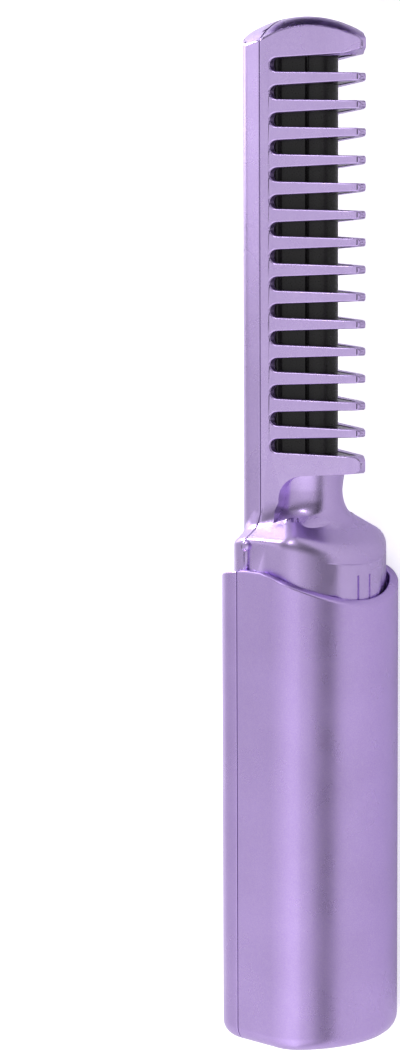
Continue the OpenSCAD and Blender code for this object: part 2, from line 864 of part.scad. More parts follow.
module battery_tabs() {
    tab_w = 0.28 * cell_d;
    tab_t = 0.3;
    color([0.8, 0.8, 0.75])
        for (z = [cell_z - tab_t - 0.05, cell_z + cell_l + 0.65])
            translate([-tab_w / 2, cell_y - tab_w / 2, z])
                cube([tab_w, cell_d / 2, tab_t]);
}

// Heater

// The heating plate seen from above, with its outline moved out by grow
module plate_plan(grow) {
    polygon(concat(
        [[heater_x + grow, flange_y + 0.4], [-heater_x - grow, flange_y + 0.4]],
        arc([0, -fin_y + fin_x], fin_x + grow, 195, 345, 8)));
}

module web_plan() {
    intersection() {
        plate_plan(0);
        translate([-heater_x - 1, -web_y + nose_r])
            square([2 * heater_x + 2, web_y - nose_r + flange_y + 1]);
    }
    intersection() {
        plate_plan(0);
        translate([0, -web_y + nose_r])
            circle(r = nose_r);
    }
}

module fin_profiles() {
    difference() {
        translate([-fin_y, plate_z])
            square([fin_y + flange_y, plate_top - plate_z]);
        for (k = [0:teeth])
            translate([0, top_gap_z - k * pitch])
                fin_gap(0.1);
    }
}

// The space between two fins: a gap with its walls moved outwards by g
module fin_gap(g) {
    root_r = gap_root_d / 2 + g;
    polygon([
        [gap_root_y + 1, root_r], [-tooth_y, gap_out + g], [-tip_y - 2, gap_out + g],
        [-tip_y - 2, -gap_out - g], [-tooth_y, -gap_out - g], [gap_root_y + 1, -root_r]]);
}

module heating_plate() {
    color(near_black) {
        translate([0, 0, plate_z])
            linear_extrude(height = plate_top - plate_z)
                web_plan();
        intersection() {
            translate([0, 0, plate_z])
                linear_extrude(height = plate_top - plate_z)
                    plate_plan(0);
            across(body_d)
                fin_profiles();
        }
        translate([-flange_x, flange_y, plate_z])
            cube([2 * flange_x, flange_t, plate_top - plate_z]);
    }
}

strip_z = plate_z + 4;
strip_l = plate_top - plate_z - 8;
strip_y = flange_y + flange_t;
clamp_y = strip_y + strip_t;

module ceramic_heater() {
    color([0.93, 0.91, 0.86])
        translate([-strip_w / 2, strip_y, strip_z])
            cube([strip_w, strip_t, strip_l]);
}

clamp_low_z = plate_z - 2.6;
clamp_high_z = plate_top + 2.2;
clamp_thread_l = 4.5;

module clamp_screw_places() {
    for (z = [clamp_low_z, clamp_high_z])
        translate([0, clamp_y + clamp_t, z])
            rotate([90, 0, 0])
                children();
}

module clamp_plate() {
    color([0.72, 0.72, 0.74])
        difference() {
            translate([-clamp_w / 2, clamp_y, clamp_low_z - 2])
                cube([clamp_w, clamp_t, clamp_high_z - clamp_low_z + 4]);
            clamp_screw_places()
                cylinder(d = screw_d + 0.4, h = 3 * clamp_t, center = true);
        }
}

module clamp_screws() {
    color([0.75, 0.75, 0.78])
        clamp_screw_places() {
            translate([0, 0, -1])
                cylinder(d = 1.8 * screw_d, h = 1);
            cylinder(d = screw_d, h = clamp_y + clamp_t - seam_y + clamp_thread_l);
        }
}

module temperature_sensor() {
    color([0.85, 0.75, 0.3])
        translate([0, clamp_y + clamp_t + 0.9, (plate_z + plate_top) / 2])
            cylinder(d = 1.8, h = 3.6);
}

// A block on the cradle's top that the leads plug into
module lead_terminal() {
    color([0.95, 0.95, 0.92])
        translate([-terminal_w / 2, seam_y, board_top])
            cube([terminal_w, board_back - seam_y, terminal_h]);
}

module heater_leads() {
    color([0.8, 0.1, 0.1])
        for (sx = [-1, 1])
            translate([sx * lead_pitch / 2, seam_y + lead_d / 2 + 0.05, board_top + terminal_h])
                cylinder(d = lead_d, h = strip_z - board_top - terminal_h);
}

module heat_barrier() {
    barrier_inset = 6;
    color([0.9, 0.88, 0.8])
        translate([-clamp_w / 2, spine_y - cover_wall - 1, plate_z + barrier_inset])
            cube([clamp_w, 0.8, plate_top - plate_z - 2 * barrier_inset]);
}

laid() handle_rear_shell();
laid() handle_front_shell();
laid() comb_rear_shell();
laid() comb_front_cover();
laid() cap();
laid() power_button();
laid() switch_plunger();
laid() power_switch();
laid() indicator_lenses();
laid() indicator_leds();
laid() main_board();
laid() controller_chip();
laid() board_screws();
laid() charging_socket();
laid() battery_cell();
laid() battery_cradle();
laid() battery_tabs();
laid() heating_plate();
laid() ceramic_heater();
laid() clamp_plate();
laid() clamp_screws();
laid() temperature_sensor();
laid() heater_leads();
laid() lead_terminal();
laid() heat_barrier();
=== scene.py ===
import json
import math

import bmesh
import bpy
from mathutils import Matrix, Vector


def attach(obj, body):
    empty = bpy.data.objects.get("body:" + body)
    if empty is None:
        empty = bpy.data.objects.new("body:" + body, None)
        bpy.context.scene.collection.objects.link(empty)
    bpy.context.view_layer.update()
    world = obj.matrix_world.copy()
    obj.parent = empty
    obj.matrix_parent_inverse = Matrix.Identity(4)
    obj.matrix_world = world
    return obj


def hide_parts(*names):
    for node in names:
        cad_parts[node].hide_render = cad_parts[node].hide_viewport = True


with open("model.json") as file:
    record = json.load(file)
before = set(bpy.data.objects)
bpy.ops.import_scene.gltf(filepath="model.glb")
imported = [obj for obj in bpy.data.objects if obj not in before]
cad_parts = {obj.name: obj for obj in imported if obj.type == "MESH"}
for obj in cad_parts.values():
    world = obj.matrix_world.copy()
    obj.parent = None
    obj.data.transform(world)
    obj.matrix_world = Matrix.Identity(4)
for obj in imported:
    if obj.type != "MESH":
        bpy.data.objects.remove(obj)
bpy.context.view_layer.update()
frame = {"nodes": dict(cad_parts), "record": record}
print("frame loaded:", len(frame["nodes"]), "nodes")

mm = 0.001

# camera: looks at the comb's back and flat side, with the comb's tip up in the picture
cameraSettings = {
    "position": (0.13015, 0.0, 0.0183),
    "distance": 0.59037,
    "sideTurn": 47.585,
    "tilt": 5.748,
    "pan": 2.431,
    "aside": 0.00138,
    "pixelFocal": 2754.9,
    "imageHeight": 1052.0,
}


def makeCamera(s):
    turn = math.radians(s["sideTurn"])
    right = Vector((0, -math.sin(turn), -math.cos(turn)))
    depth = Vector((0, math.cos(turn), -math.sin(turn)))
    tilt = math.radians(s["tilt"])
    ahead = depth * math.cos(tilt) - Vector((1, 0, 0)) * math.sin(tilt)
    up = Vector((1, 0, 0)) * math.cos(tilt) + depth * math.sin(tilt)
    pan = math.radians(s["pan"])
    forward = ahead * math.cos(pan) - right * math.sin(pan)
    side = right * math.cos(pan) + ahead * math.sin(pan)
    place = Vector(s["position"]) + right * s["aside"] - depth * s["distance"]
    data = bpy.data.cameras.new("photoCamera")
    data.sensor_fit = "VERTICAL"
    data.sensor_height = 36.0
    data.lens = 36.0 * s["pixelFocal"] / s["imageHeight"]
    data.clip_start = 0.01
    camera = bpy.data.objects.new("photoCamera", data)
    bpy.context.scene.collection.objects.link(camera)
    turned = Matrix((side, up, -forward)).transposed().to_4x4()
    camera.matrix_world = Matrix.Translation(place) @ turned
    bpy.context.scene.camera = camera
    return camera


makeCamera(cameraSettings)

# studio: pale floor and soft sky; around the brush the sky changes with the turn from the zenith
# towards the camera's side, along it with the share of the x axis in the direction
studioSettings = {
    "floorSize": 6.0,
    "floorColor": (0.93, 0.93, 0.93, 1),
    "floorRoughness": 0.9,
    "floorGlow": 0.08,
    "floorSeen": 0.5,
    "skyStrength": 1.0,
    "skyAround": [(-180, 0.9), (-60, 0.62), (-45, 0.70), (-5, 0.85), (19, 1.0), (45, 0.98), (58, 0.85),
                  (66, 0.55), (73, 0.28), (84, 0.2), (92, 0.5), (180, 0.9)],
    "skyAlong": [(-1.0, 1.4), (-0.3, 1.4), (-0.25, 1.3), (-0.19, 1.0), (-0.1, 0.9), (0.02, 0.95),
                 (0.1, 1.05), (0.16, 1.05), (0.4, 0.3), (0.6, 0.25), (0.85, 0.8), (1.0, 0.8)],
    "lights": [
        {"energy": 1.7, "size": 0.12, "place": (0.39, 0.4, 0.14), "aim": (0.1, 0, 0.02)},
        {"energy": 1.0, "size": 0.25, "place": (0.9, -0.08, 0.55), "aim": (0.09, 0, 0.02)},
        {"energy": 0.2, "size": 0.16, "place": (0.24, 0.6, 0.11), "aim": (0.15, 0, 0.02)},
        {"energy": 0.09, "size": 0.2, "place": (0.22, 0.37, 0.36), "aim": (0.15, 0, 0.02)},
    ],
}


def skyRamp(nodes, links, value, scale, points):
    fit = nodes.new("ShaderNodeMath")
    fit.operation = "MULTIPLY_ADD"
    fit.inputs[1].default_value = scale
    fit.inputs[2].default_value = 0.5
    links.new(value, fit.inputs[0])
    ramp = nodes.new("ShaderNodeValToRGB")
    for place, level in points:
        ramp.color_ramp.elements.new(place).color = (level, level, level, 1)
    ramp.color_ramp.elements.remove(ramp.color_ramp.elements[0])
    ramp.color_ramp.elements.remove(ramp.color_ramp.elements[-1])
    links.new(fit.outputs[0], ramp.inputs["Fac"])
    return ramp.outputs["Color"]


def makeSky(s):
    bpy.context.scene.view_settings.view_transform = "Standard"
    world = bpy.data.worlds.new("softStudio")
    bpy.context.scene.world = world
    world.use_nodes = True
    nodes = world.node_tree.nodes
    links = world.node_tree.links
    nodes.clear()
    direction = nodes.new("ShaderNodeSeparateXYZ")
    links.new(nodes.new("ShaderNodeTexCoord").outputs["Generated"], direction.inputs[0])
    turn = nodes.new("ShaderNodeMath")
    turn.operation = "ARCTAN2"
    links.new(direction.outputs["Y"], turn.inputs[0])
    links.new(direction.outputs["Z"], turn.inputs[1])
    aroundPoints = [(a / 360 + 0.5, v) for a, v in s["skyAround"]]
    alongPoints = [(a / 2 + 0.5, v) for a, v in s["skyAlong"]]
    around = skyRamp(nodes, links, turn.outputs[0], -0.5 / math.pi, aroundPoints)
    along = skyRamp(nodes, links, direction.outputs["X"], 0.5, alongPoints)
    level = nodes.new("ShaderNodeMath")
    level.operation = "MULTIPLY"
    links.new(around, level.inputs[0])
    links.new(along, level.inputs[1])
    mix = nodes.new("ShaderNodeMixRGB")
    mix.inputs["Color2"].default_value = (1, 1, 1, 1)
    back = nodes.new("ShaderNodeBackground")
    back.inputs["Strength"].default_value = s["skyStrength"]
    out = nodes.new("ShaderNodeOutputWorld")
    links.new(nodes.new("ShaderNodeLightPath").outputs["Is Camera Ray"], mix.inputs["Fac"])
    links.new(level.outputs[0], mix.inputs["Color1"])
    links.new(mix.outputs["Color"], back.inputs["Color"])
    links.new(back.outputs[0], out.inputs[0])


def makeFloor(s):
    mesh = bpy.data.meshes.new("studioFloor")
    bm = bmesh.new()
    bmesh.ops.create_grid(bm, x_segments=1, y_segments=1, size=s["floorSize"])
    bm.to_mesh(mesh)
    bm.free()
    floor = bpy.data.objects.new("studioFloor", mesh)
    bpy.context.scene.collection.objects.link(floor)
    paper = bpy.data.materials.new("floorPaper")
    paper.use_nodes = True
    nodes = paper.node_tree.nodes
    links = paper.node_tree.links
    shader = nodes["Principled BSDF"]
    shader.inputs["Base Color"].default_value = s["floorColor"]
    shader.inputs["Roughness"].default_value = s["floorRoughness"]
    shader.inputs["Emission Color"].default_value = (1, 1, 1, 1)
    seen = nodes.new("ShaderNodeLightPath")
    glow = nodes.new("ShaderNodeMath")
    glow.operation = "MULTIPLY_ADD"
    glow.inputs[1].default_value = s["floorSeen"]
    glow.inputs[2].default_value = s["floorGlow"]
    links.new(seen.outputs["Is Camera Ray"], glow.inputs[0])
    links.new(glow.outputs[0], shader.inputs["Emission Strength"])
    mesh.materials.append(paper)


def makeLamps(s):
    for lamp in s["lights"]:
        light = bpy.data.lights.new("softLight", "AREA")
        light.energy = lamp["energy"]
        light.size = lamp["size"]
        holder = bpy.data.objects.new("softLight", light)
        bpy.context.scene.collection.objects.link(holder)
        holder.location = lamp["place"]
        aim = Vector(lamp["aim"]) - Vector(lamp["place"])
        holder.rotation_euler = aim.to_track_quat("-Z", "Y").to_euler()


makeSky(studioSettings)
makeFloor(studioSettings)
makeLamps(studioSettings)
print("camera and studio ready")


# shader groups shared by several finishes
def newGroup(name, inputs, outputs):
    group = bpy.data.node_groups.new(name, "ShaderNodeTree")
    for label, kind, value in inputs:
        socket = group.interface.new_socket(label, in_out="INPUT", socket_type=kind)
        socket.default_value = value
    for label, kind in outputs:
        group.interface.new_socket(label, in_out="OUTPUT", socket_type=kind)
    nodes = group.nodes
    return group, nodes, group.links, nodes.new("NodeGroupInput"), nodes.new("NodeGroupOutput")


def noiseNode(nodes, links, vector, detail, scale=None, scaleSocket=None):
    noise = nodes.new("ShaderNodeTexNoise")
    noise.inputs["Detail"].default_value = detail
    links.new(vector, noise.inputs["Vector"])
    if scaleSocket is None:
        noise.inputs["Scale"].default_value = scale
    else:
        links.new(scaleSocket, noise.inputs["Scale"])
    return noise


def rangeNode(nodes, links, value, reads, gives):
    node = nodes.new("ShaderNodeMapRange")
    links.new(value, node.inputs["Value"])
    for label, number in zip(("From Min", "From Max"), reads):
        node.inputs[label].default_value = number
    for label, number in zip(("To Min", "To Max"), gives):
        if isinstance(number, (int, float)):
            node.inputs[label].default_value = number
        else:
            links.new(number, node.inputs[label])
    return node


# fine metallic flakes, a slow cloud of tint and a smudged gloss
flakeSettings = {
    "flakeDetail": 3.0, "flakeShows": (0.42, 0.7), "noiseSpan": (0.3, 0.7),
    "cloudDetail": 4.0, "cloudScale": 55.0, "cloudTint": (0.94, 1.04),
    "smudgeDetail": 5.0, "smudgeScale": 90.0, "smudgeDrift": (-0.03, 0.05),
}


def makeFlakePaint(s):
    group, nodes, links, given, made = newGroup(
        "flakePaint",
        [("Paint", "NodeSocketColor", (0.5, 0.36, 0.7, 1)),
         ("Flake", "NodeSocketColor", (0.8, 0.7, 0.9, 1)),
         ("Flake Scale", "NodeSocketFloat", 4000.0), ("Flake Amount", "NodeSocketFloat", 0.3),
         ("Roughness", "NodeSocketFloat", 0.4)],
        [("Color", "NodeSocketColor"), ("Roughness", "NodeSocketFloat"), ("Height", "NodeSocketFloat")])
    coords = nodes.new("ShaderNodeTexCoord").outputs["Object"]
    flake = noiseNode(nodes, links, coords, s["flakeDetail"], scaleSocket=given.outputs["Flake Scale"])
    amount = (0.0, given.outputs["Flake Amount"])
    spread = rangeNode(nodes, links, flake.outputs["Fac"], s["flakeShows"], amount)
    cloud = noiseNode(nodes, links, coords, s["cloudDetail"], scale=s["cloudScale"])
    tint = rangeNode(nodes, links, cloud.outputs["Fac"], s["noiseSpan"], s["cloudTint"])
    mix = nodes.new("ShaderNodeMix")
    mix.data_type = "RGBA"
    links.new(spread.outputs[0], mix.inputs["Factor"])
    links.new(given.outputs["Paint"], mix.inputs["A"])
    links.new(given.outputs["Flake"], mix.inputs["B"])
    shade = nodes.new("ShaderNodeVectorMath")
    shade.operation = "SCALE"
    links.new(mix.outputs["Result"], shade.inputs[0])
    links.new(tint.outputs[0], shade.inputs["Scale"])
    smudge = noiseNode(nodes, links, coords, s["smudgeDetail"], scale=s["smudgeScale"])
    drift = rangeNode(nodes, links, smudge.outputs["Fac"], s["noiseSpan"], s["smudgeDrift"])
    rough = nodes.new("ShaderNodeMath")
    rough.operation = "ADD"
    links.new(given.outputs["Roughness"], rough.inputs[0])
    links.new(drift.outputs[0], rough.inputs[1])
    links.new(shade.outputs[0], made.inputs["Color"])
    links.new(rough.outputs[0], made.inputs["Roughness"])
    links.new(flake.outputs["Fac"], made.inputs["Height"])
    return group


# paint rubbed thin on the raised edges, broken up by a fine patchwork
wornSettings = {"edgeFrom": 0.505, "edgeTo": 0.56, "patchDetail": 4.0, "patchScale": 600.0}


def makeWornEdges(s):
    group, nodes, links, given, made = newGroup(
        "wornEdges",
        [("Color", "NodeSocketColor", (0.5, 0.5, 0.5, 1)),
         ("Edge Color", "NodeSocketColor", (0.8, 0.8, 0.8, 1)),
         ("Amount", "NodeSocketFloat", 0.5)],
        [("Color", "NodeSocketColor")])
    point = nodes.new("ShaderNodeNewGeometry").outputs["Pointiness"]
    coords = nodes.new("ShaderNodeTexCoord").outputs["Object"]
    amount = (0.0, given.outputs["Amount"])
    edge = rangeNode(nodes, links, point, (s["edgeFrom"], s["edgeTo"]), amount)
    patch = noiseNode(nodes, links, coords, s["patchDetail"], scale=s["patchScale"])
    broken = nodes.new("ShaderNodeMath")
    broken.operation = "MULTIPLY"
    links.new(edge.outputs[0], broken.inputs[0])
    links.new(patch.outputs["Fac"], broken.inputs[1])
    mix = nodes.new("ShaderNodeMix")
    mix.data_type = "RGBA"
    links.new(broken.outputs[0], mix.inputs["Factor"])
    links.new(given.outputs["Color"], mix.inputs["A"])
    links.new(given.outputs["Edge Color"], mix.inputs["B"])
    links.new(mix.outputs["Result"], made.inputs["Color"])
    return group


# the matt grain of a moulded or stamped part, with slow changes of tone
grainSettings = {
    "grainDetail": 6.0, "noiseSpan": (0.3, 0.7), "grainDrift": (-0.06, 0.06),
    "cloudDetail": 3.0, "cloudScale": 220.0,
}


def makeMouldGrain(s):
    group, nodes, links, given, made = newGroup(
        "mouldGrain",
        [("Color", "NodeSocketColor", (0.5, 0.5, 0.5, 1)), ("Grain Scale", "NodeSocketFloat", 2500.0),
         ("Variation", "NodeSocketFloat", 0.1), ("Roughness", "NodeSocketFloat", 0.5)],
        [("Color", "NodeSocketColor"), ("Roughness", "NodeSocketFloat"), ("Height", "NodeSocketFloat")])
    coords = nodes.new("ShaderNodeTexCoord").outputs["Object"]
    grain = noiseNode(nodes, links, coords, s["grainDetail"], scaleSocket=given.outputs["Grain Scale"])
    cloud = noiseNode(nodes, links, coords, s["cloudDetail"], scale=s["cloudScale"])
    less = nodes.new("ShaderNodeMath")
    less.operation = "SUBTRACT"
    less.inputs[0].default_value = 1.0
    links.new(given.outputs["Variation"], less.inputs[1])
    tint = rangeNode(nodes, links, cloud.outputs["Fac"], s["noiseSpan"], (less.outputs[0], 1.0))
    shade = nodes.new("ShaderNodeVectorMath")
    shade.operation = "SCALE"
    links.new(given.outputs["Color"], shade.inputs[0])
    links.new(tint.outputs[0], shade.inputs["Scale"])
    drift = rangeNode(nodes, links, grain.outputs["Fac"], s["noiseSpan"], s["grainDrift"])
    rough = nodes.new("ShaderNodeMath")
    rough.operation = "ADD"
    links.new(given.outputs["Roughness"], rough.inputs[0])
    links.new(drift.outputs[0], rough.inputs[1])
    links.new(shade.outputs[0], made.inputs["Color"])
    links.new(rough.outputs[0], made.inputs["Roughness"])
    links.new(grain.outputs["Fac"], made.inputs["Height"])
    return group


flakePaint = makeFlakePaint(flakeSettings)
wornEdges = makeWornEdges(wornSettings)
mouldGrain = makeMouldGrain(grainSettings)


def startMaterial(name, s):
    material = bpy.data.materials.new(name)
    material.use_nodes = True
    nodes = material.node_tree.nodes
    shader = nodes["Principled BSDF"]
    shader.inputs["Metallic"].default_value = s.get("metallic", 0.0)
    shader.inputs["Coat Weight"].default_value = s.get("coat", 0.0)
    shader.inputs["Coat Roughness"].default_value = s.get("coatRoughness", 0.1)
    shader.inputs["Specular IOR Level"].default_value = s.get("specular", 0.5)
    return material, nodes, material.node_tree.links, shader


def placeGroup(nodes, group, values):
    node = nodes.new("ShaderNodeGroup")
    node.node_tree = group
    for label, value in values.items():
        node.inputs[label].default_value = value
    return node


def addBump(nodes, links, shader, height, depth, strength):
    bump = nodes.new("ShaderNodeBump")
    bump.inputs["Strength"].default_value = strength
    bump.inputs["Distance"].default_value = depth
    links.new(height, bump.inputs["Height"])
    links.new(bump.outputs[0], shader.inputs["Normal"])


def makePaint(name, s):
    material, nodes, links, shader = startMaterial(name, s)
    paint = placeGroup(nodes, flakePaint, {
        "Paint": s["color"], "Flake": s["flake"], "Flake Scale": s["flakeScale"],
        "Flake Amount": s["flakeAmount"], "Roughness": s["roughness"]})
    worn = placeGroup(nodes, wornEdges, {"Edge Color": s["edge"], "Amount": s["edgeAmount"]})
    links.new(paint.outputs["Color"], worn.inputs["Color"])
    links.new(worn.outputs["Color"], shader.inputs["Base Color"])
    links.new(paint.outputs["Roughness"], shader.inputs["Roughness"])
    addBump(nodes, links, shader, paint.outputs["Height"], s["bumpDepth"], s["bump"])
    return material


def makeMoulded(name, s):
    material, nodes, links, shader = startMaterial(name, s)
    grain = placeGroup(nodes, mouldGrain, {
        "Color": s["color"], "Grain Scale": s["grainScale"], "Variation": s["variation"],
        "Roughness": s["roughness"]})
    worn = placeGroup(nodes, wornEdges, {"Edge Color": s["edge"], "Amount": s["edgeAmount"]})
    links.new(grain.outputs["Color"], worn.inputs["Color"])
    links.new(worn.outputs["Color"], shader.inputs["Base Color"])
    links.new(grain.outputs["Roughness"], shader.inputs["Roughness"])
    addBump(nodes, links, shader, grain.outputs["Height"], s["bumpDepth"], s["bump"])
    return material


paintSettings = {
    "lavenderPaint": {
        "color": (0.49, 0.345, 0.74, 1), "flake": (0.66, 0.52, 0.80, 1), "flakeScale": 5200.0,
        "flakeAmount": 0.5, "roughness": 0.28, "metallic": 0.97, "coat": 0.03, "coatRoughness": 0.3,
        "edge": (0.66, 0.54, 0.86, 1), "edgeAmount": 0.35, "bumpDepth": 0.00003, "bump": 0.35},
    "combPaint": {
        "color": (0.49, 0.365, 0.70, 1), "flake": (0.68, 0.55, 0.82, 1), "flakeScale": 5200.0,
        "flakeAmount": 0.45, "roughness": 0.27, "metallic": 0.95, "coat": 0.03, "coatRoughness": 0.3,
        "edge": (0.70, 0.58, 0.88, 1), "edgeAmount": 0.35, "bumpDepth": 0.00003, "bump": 0.3},
}

mouldedSettings = {
    "blackPlastic": {"color": (0.02, 0.02, 0.022, 1), "edge": (0.08, 0.08, 0.085, 1), "roughness": 0.5},
    "lensBlack": {"color": (0.012, 0.010, 0.014, 1), "edge": (0.05, 0.045, 0.06, 1), "roughness": 0.16,
                  "coat": 0.6, "bump": 0.05},
    "whitePlastic": {"color": (0.72, 0.72, 0.68, 1), "edge": (0.85, 0.85, 0.82, 1), "roughness": 0.45},
    "boardGreen": {"color": (0.015, 0.11, 0.05, 1), "edge": (0.25, 0.22, 0.12, 1), "roughness": 0.35,
                   "coat": 0.3, "grainScale": 900.0, "variation": 0.35},
    "screwSteel": {"color": (0.48, 0.48, 0.5, 1), "edge": (0.75, 0.75, 0.76, 1), "roughness": 0.3,
                   "metallic": 1.0},
    "socketSteel": {"color": (0.6, 0.6, 0.62, 1), "edge": (0.8, 0.8, 0.82, 1), "roughness": 0.25,
                    "metallic": 1.0},
    "cellWrap": {"color": (0.03, 0.13, 0.26, 1), "edge": (0.2, 0.3, 0.42, 1), "roughness": 0.28,
                 "coat": 0.5},
    "heaterBlack": {"color": (0.010, 0.009, 0.010, 1), "edge": (0.05, 0.045, 0.05, 1), "roughness": 0.3,
                    "specular": 0.25, "coat": 0.1, "coatRoughness": 0.15, "edgeAmount": 0.5},
    "ceramicWhite": {"color": (0.8, 0.77, 0.7, 1), "edge": (0.9, 0.88, 0.84, 1), "roughness": 0.55,
                     "variation": 0.15},
    "clampSteel": {"color": (0.5, 0.5, 0.51, 1), "edge": (0.7, 0.7, 0.7, 1), "roughness": 0.38,
                   "metallic": 1.0},
    "sensorBead": {"color": (0.6, 0.42, 0.08, 1), "edge": (0.8, 0.65, 0.3, 1), "roughness": 0.15,
                   "coat": 0.8},
    "leadRed": {"color": (0.42, 0.02, 0.02, 1), "edge": (0.6, 0.1, 0.08, 1), "roughness": 0.55},
    "barrierSheet": {"color": (0.62, 0.55, 0.4, 1), "edge": (0.8, 0.76, 0.66, 1), "roughness": 0.4,
                     "variation": 0.4, "grainScale": 1400.0},
    "markInk": {"color": (0.12, 0.08, 0.17, 1), "edge": (0.3, 0.24, 0.4, 1), "roughness": 0.5},
}
# values for every finish above that doesn't give its own
mouldedCommon = {
    "grainScale": 3000.0, "variation": 0.12, "edgeAmount": 0.6, "bumpDepth": 0.00003, "bump": 0.25}

finishes = {name: makePaint(name, s) for name, s in paintSettings.items()}
for name, s in mouldedSettings.items():
    finishes[name] = makeMoulded(name, {**mouldedCommon, **s})
print("finishes ready:", len(finishes))


# pieces: the shells and inner parts are made from the frame's own solids, merged, rounded and smoothed
# lengths in these dictionaries are millimetres
mergeSettings = {"join": 0.004, "thin": 0.002}
seamSettings = {"plane": 4.5, "gap": 0.14, "near": 0.01, "margin": 0.05}

# the neck's skin is opened between the shoulder and the guard, and a waisted column takes its place
# a ring is its place along the brush, its middle towards the back, two half widths and a power:
# 2 is an ellipse and 4 nearly a rounded box
neckSettings = {
    "finish": "combPaint", "slot": "comb_paint",
    "start": 72.8, "end": 82.5, "back": 0.95, "middle": 18.3, "axis": 2.5, "ring": 8.2, "inward": 0.55,
    "faceNormal": (-0.428, 0.904), "faceMatch": 0.99, "points": 72, "steps": 6,
    "faceBase": 3.0, "faceGrow": 8.0 / 16.9, "faceStart": -12.4, "faceClear": 0.05,
    "rings": [(70.2, 2.0, 9.4, 12.0, 4.0), (70.8, 1.8, 9.3, 11.9, 4.0), (71.4, 1.5, 9.0, 11.5, 4.0),
              (72.0, 1.2, 8.7, 10.8, 3.5), (73.0, 0.8, 8.2, 9.4, 3.0), (74.0, 0.5, 7.8, 8.3, 2.5),
              (75.0, 0.35, 7.7, 7.6, 2.2), (76.5, 0.3, 7.3, 7.25, 2.05), (78.4, 0.3, 7.1, 7.1, 2.0),
              (80.0, 0.3, 7.25, 7.2, 2.0), (81.5, 0.3, 7.5, 7.4, 2.0), (82.6, 0.3, 7.8, 7.6, 2.0),
              (83.4, 0.3, 7.9, 7.7, 2.0)]}


def openNeck(bm, s):
    gone = []
    bm.normal_update()
    across, up = s["faceNormal"]
    for face in bm.faces:
        x, y, z = face.calc_center_median() / mm
        side = abs(z - s["middle"])
        level = abs(side - s["faceBase"] - s["faceGrow"] * (y - s["faceStart"])) < s["faceClear"]
        flat = level and face.normal.y * across + abs(face.normal.z) * up > s["faceMatch"]
        around = math.hypot(y - s["axis"], side) > s["ring"]
        if s["start"] < x < s["end"] and y < s["back"] and around and not flat:
            gone.append(face)
    bmesh.ops.delete(bm, geom=gone, context="FACES")
    rim = [edge for edge in bm.edges if edge.is_boundary]
    wall = bmesh.ops.extrude_edge_only(bm, edges=rim)["geom"]
    for vert in (item for item in wall if isinstance(item, bmesh.types.BMVert)):
        vert.co.z = (s["middle"] + (vert.co.z / mm - s["middle"]) * s["inward"]) * mm
    print("neck faces opened:", len(gone))


# a smooth curve through the rings: t runs from 0 at ring i to 1 at the next one
def curvePoint(rings, i, t):
    before, start, end, after = (rings[min(len(rings) - 1, max(0, i + k))] for k in (-1, 0, 1, 2))
    made = []
    for a, b, c, d in zip(before, start, end, after):
        made.append(b + 0.5 * t * (c - a + t * (2 * a - 5 * b + 4 * c - d + t * (3 * (b - c) + d - a))))
    return made


def makeNeckColumn(s):
    bm = bmesh.new()
    bmesh.ops.create_circle(bm, cap_ends=True, segments=s["points"], radius=1.0)
    rim = list(bm.edges)
    for level in range(1, (len(s["rings"]) - 1) * s["steps"]):
        made = bmesh.ops.extrude_edge_only(bm, edges=rim)["geom"]
        raised = {item for item in made if isinstance(item, bmesh.types.BMVert)}
        edges = [item for item in made if isinstance(item, bmesh.types.BMEdge)]
        bmesh.ops.translate(bm, verts=list(raised), vec=(0.0, 0.0, 1.0))
        rim = [edge for edge in edges if raised.issuperset(edge.verts)]
    bmesh.ops.holes_fill(bm, edges=rim, sides=0)
    for vert in bm.verts:  # the plain tube takes its real shape
        ring, step = divmod(round(vert.co.z), s["steps"])
        a = math.atan2(vert.co.y, vert.co.x)
        x, back, deep, high, power = curvePoint(s["rings"], ring, step / s["steps"])
        out, off = (math.copysign(abs(v) ** (2 / power), v) for v in (math.cos(a), math.sin(a)))
        vert.co = [c * mm for c in (x, back + deep * out, s["middle"] + high * off)]
    bmesh.ops.recalc_face_normals(bm, faces=bm.faces)
    return bm


# the ends of the teeth are drawn in to a round nose
tipSettings = {"start": 90.0, "end": 172.5, "front": -13.9, "length": 1.42, "apart": 1.0, "most": 0.97}


def roundTips(bm, s):
    along = [vert for vert in bm.verts if s["start"] * mm < vert.co.x < s["end"] * mm]
    tips = [vert for vert in along if vert.co.y < s["front"] * mm]
    tips.sort(key=lambda vert: vert.co.x)
    groups = [[tips[0]]]
    for vert in tips[1:]:
        if vert.co.x - groups[-1][-1].co.x > s["apart"] * mm:
            groups.append([])
        groups[-1].append(vert)
    for group in groups:
        middle = (group[0].co.x + group[-1].co.x) / 2
        for vert in group:
            reach = min(s["most"], (s["front"] - vert.co.y / mm) / s["length"])
            vert.co.x = middle + (vert.co.x - middle) * math.sqrt(1 - reach * reach)
    print("rounded tips:", len(groups))


def takeSolid(node, s):
    bm = bmesh.new()
    bm.from_mesh(frame["nodes"][node].data)
    bmesh.ops.remove_doubles(bm, verts=bm.verts, dist=mergeSettings["join"] * mm)
    bmesh.ops.dissolve_degenerate(bm, edges=bm.edges, dist=mergeSettings["thin"] * mm)
    if s.get("seam"):  # the edge along the seam stands back a little, which leaves a groove
        for vert in bm.verts:
            if abs(vert.co.y - seamSettings["plane"] * mm) < seamSettings["near"] * mm:
                vert.co.y += seamSettings["gap"] * mm
    if s.get("neck"):
        openNeck(bm, neckSettings)
        roundTips(bm, tipSettings)
    return bm


# edges over the sharp angle are rounded and broad faces keep even normals,
# apart from a piece's plain stretch in front of the seam
roundSettings = {"sharpAngle": 32.0, "steps": 2, "plainBelow": 4.2}


